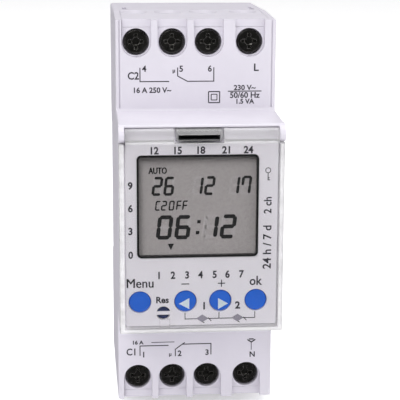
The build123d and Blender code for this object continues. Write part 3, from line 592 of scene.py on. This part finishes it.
panel.stroke([(-4.4, -12.0), (-2.7, -12.0)], SIGN_LINE)
panel.stroke([(3.6, -12.0), (5.2, -12.0)], SIGN_LINE)
panel.stroke([(4.4, -12.8), (4.4, -11.2)], SIGN_LINE)
panel.text("ok", 11.9, -11.65, 2.0, 0.9)
panel.text("Res", -8.6, -15.6, 1.35, 1.0, bold=0.06)
panel.text("1", 0.6, -17.15, 1.55, bold=0.07)
panel.text("2", 8.0, -17.15, 1.55, bold=0.07)
panel.stroke([(-3.6, -18.6), (-3.6, -20.0), (-1.0, -20.0)], FINE_LINE)
panel.stroke([(1.4, -20.0), (3.9, -20.0)], FINE_LINE)
panel.stroke([(3.9, -18.6), (3.9, -20.0)], FINE_LINE)
panel.stroke([(4.0, -20.0), (6.8, -20.0)], FINE_LINE)
panel.stroke([(9.2, -20.0), (11.85, -20.0), (11.85, -18.6)], FINE_LINE)
for x in (0.2, 8.0):
    panel.stroke([(x + 1.3, -19.8), (x + 2.0, -20.6)], FINE_LINE)
    panel.stroke([(x - 0.2, -20.6), (x + 0.5, -21.0)], FINE_LINE)
panel.finish()

diamonds = Sheet("print_diamonds", PANEL_FRONT, PRINT_PALE, "frame_black")
for x in (0.2, 8.0):
    diamonds.area([(x - 1.35, -19.95), (x, -20.85), (x + 1.35, -19.95), (x, -19.05)])
diamonds.finish()

for side, base, tip, middle in (("left", 0.85, -1.45, -0.6), ("right", -0.5, 1.7, -0.75)):
    arrow = Sheet("print_" + side, KEY_FRONT, PRINT_WHITE, "panel_plastic", side + "_key")
    x, z = KEY_X[side], KEY_Z + middle
    arrow.area([(x + base, z + 1.25), (x + base, z - 1.25), (x + tip, z)])
    arrow.finish()


# ---------------------------------------------------------------- display contents

LEAN = 0.12
END_REACH, END_BLUNT, END_WIDTH = 0.04, 0.16, 0.8
STROKES = {
    "a": ((0.0, 1.0), (1.0, 1.0)), "b": ((1.0, 1.0), (1.0, 0.5)), "c": ((1.0, 0.5), (1.0, 0.0)),
    "d": ((0.0, 0.0), (1.0, 0.0)), "e": ((0.0, 0.5), (0.0, 0.0)), "f": ((0.0, 1.0), (0.0, 0.5)),
    "g": ((0.0, 0.5), (1.0, 0.5)),
}
GLYPHS = {
    "0": "abcdef", "1": "bc", "2": "abged", "6": "acdefg", "7": "abcf",
    "C": "adef", "O": "abcdef", "F": "aefg",
}


def digit(sheet, glyph, x, z, width, height, weight, lit=True):
    """One seven-segment figure with its lower left corner at (x, z); its ends are chamfered."""
    for name, (start, end) in STROKES.items():
        if (name in GLYPHS[glyph]) != lit:
            continue
        inset = weight / 2
        first, last = [Vector((inset + across * (width - weight), inset + up * (height - weight)))
                       for across, up in (start, end)]
        along = (last - first).normalized()
        side = Vector((-along.y, along.x)) * weight / 2
        first, last = first - along * weight * END_REACH, last + along * weight * END_REACH
        blunt = along * weight * END_BLUNT
        taper = along * inset
        edge = side * END_WIDTH
        rim = [first, first + blunt + edge, first + taper + side, last - taper + side,
               last - blunt + edge, last, last - blunt - edge, last - taper - side,
               first + taper - side, first + blunt - edge]
        sheet.area([(x + p.x + LEAN * p.y, z + p.y) for p in rim])


lit = Sheet("display_lit", LCD_FRONT, SEGMENT, "frame_black")
faint = Sheet("display_faint", LCD_FRONT, SEGMENT_OFF, "display_glass", thick=0.01)
ROWS = (
    (((-10.9, "2"), (-8.35, "6"), (-2.1, "1"), (0.45, "2"), (5.85, "1"), (8.4, "7")), 7.6, 2.2, 4.2, 0.6),
    (((-8.85, "2"), (-7.2, "O"), (-5.6, "F"), (-4.25, "F"), (-10.15, "C")), 4.3, 1.2, 2.2, 0.32),
    (((-10.0, "0"), (-6.0, "6"), (0.0, "1"), (3.9, "2")), -2.15, 3.35, 5.4, 0.86),
)
for figures, z, width, height, weight in ROWS:
    for x, glyph in figures:
        digit(lit, glyph, x, z, width, height, weight)
        digit(faint, glyph, x, z, width, height, weight, False)
COLON_X, COLON_SIZE, COLON_LEAN = -1.1, 0.75, 0.08
for z in (-1.1, 1.35):
    x = COLON_X + LEAN * z
    lit.area([(x, z), (x + COLON_SIZE, z), (x + COLON_SIZE + COLON_LEAN, z + COLON_SIZE),
              (x + COLON_LEAN, z + COLON_SIZE)])
for shift in (-0.05, 0.05):
    lit.text("AUTO", -9.45 + shift, 13.05, 1.35, 0.72, bold=0.03)
lit.area([(-7.35, -3.1), (-5.95, -3.1), (-6.65, -4.55)])
lit.finish()
faint.finish()


# ---------------------------------------------------------------- studio and camera

ROOM_LIGHT = 0.53
REFLECTED = 0.12
FLOOR_LIFT = 0.42
FLOOR_BEHIND, FLOOR_SIDE, SWEEP_RADIUS, SWEEP_STEPS = 2.2, 4.0, 0.8, 12


def surface(name, material, points, faces):
    """A plain mesh object from its points and faces."""
    mesh = bpy.data.meshes.new(name)
    mesh.from_pydata(points, [], faces)
    mesh.materials.append(material)
    made = bpy.data.objects.new(name, mesh)
    bpy.context.scene.collection.objects.link(made)
    return made


def backdrop():
    """A wide pale floor under the part, curving up far behind it."""
    floor = Finish("floor")
    floor.colour(floor.mixed(floor.noise(60.0, 2.0), tone(250, 250, 251), tone(253, 253, 254)))
    floor.set(Roughness=0.75)
    floor.seen_in_a_studio(REFLECTED, FLOOR_LIFT)
    low = CAD_BOX[0].z - 0.0002
    profile = [(-3.0, low), (FLOOR_BEHIND, low)]
    for i in range(1, SWEEP_STEPS + 1):
        angle = math.pi / 2 * i / SWEEP_STEPS
        rise = SWEEP_RADIUS * (1 - math.cos(angle))
        profile.append((FLOOR_BEHIND + math.sin(angle) * SWEEP_RADIUS, low + rise))
    profile.append((FLOOR_BEHIND + SWEEP_RADIUS, low + 2.5))
    points = [(x, y, z) for y, z in profile for x in (-FLOOR_SIDE, FLOOR_SIDE)]
    faces = [(2 * i, 2 * i + 1, 2 * i + 3, 2 * i + 2) for i in range(len(profile) - 1)]
    made = surface("floor", floor.material, points, faces)
    for face in made.data.polygons:
        face.use_smooth = True


def lamp(name, place, aim, width, height, watts):
    """A white rectangular area lamp that looks at a point."""
    data = bpy.data.lights.new(name, "AREA")
    data.shape, data.size, data.size_y = "RECTANGLE", width, height
    data.energy = watts
    made = bpy.data.objects.new(name, data)
    made.location = place
    made.rotation_euler = (Vector(aim) - Vector(place)).to_track_quat("-Z", "Y").to_euler()
    bpy.context.scene.collection.objects.link(made)


def room():
    """An even white room: full white to the camera, softer as light, and dim in reflections."""
    world = bpy.data.worlds.new("studio")
    world.use_nodes = True
    tree = world.node_tree
    path = tree.nodes.new("ShaderNodeLightPath")
    shown = tree.nodes["Background"]
    shown.inputs["Color"].default_value = (1.0, 1.0, 1.0, 1.0)
    strength = tree.nodes.new("ShaderNodeMapRange")
    strength.inputs["To Min"].default_value = ROOM_LIGHT
    strength.inputs["To Max"].default_value = ROOM_LIGHT * REFLECTED
    tree.links.new(path.outputs["Is Glossy Ray"], strength.inputs["Value"])
    brighter = tree.nodes.new("ShaderNodeMath")
    brighter.operation = "MAXIMUM"
    tree.links.new(strength.outputs["Result"], brighter.inputs[0])
    tree.links.new(path.outputs["Is Camera Ray"], brighter.inputs[1])
    tree.links.new(brighter.outputs["Value"], shown.inputs["Strength"])
    bpy.context.scene.world = world


backdrop()
TARGET = Vector((0.00103, -0.038, 0.0033))
lamp("key_lamp", (-0.35, -0.75, 0.75), TARGET, 0.7, 0.7, 5.0)
lamp("fill_lamp", (0.75, -0.6, 0.25), TARGET, 0.6, 0.9, 1.9)
lamp("top_lamp", (0.0, 0.1, 0.95), TARGET, 0.9, 0.7, 4.2)
room()
bpy.context.scene.view_settings.view_transform = "Standard"

DISTANCE = 0.3
SIDEWAYS, ABOVE, ROLL = math.radians(5.27), math.radians(12.49), math.radians(0.25)
look = bpy.data.cameras.new("camera")
look.lens, look.sensor_width = 118.4, 36.0
look.clip_start, look.clip_end = 0.01, 20.0
camera = bpy.data.objects.new("camera", look)
bpy.context.scene.collection.objects.link(camera)
back = Vector((-math.sin(SIDEWAYS) * math.cos(ABOVE), -math.cos(SIDEWAYS) * math.cos(ABOVE), math.sin(ABOVE)))
camera.location = TARGET + back * DISTANCE
camera.rotation_mode = "QUATERNION"
camera.rotation_quaternion = (-back).to_track_quat("-Z", "Y") @ Matrix.Rotation(ROLL, 4, "Z").to_quaternion()
bpy.context.scene.camera = camera
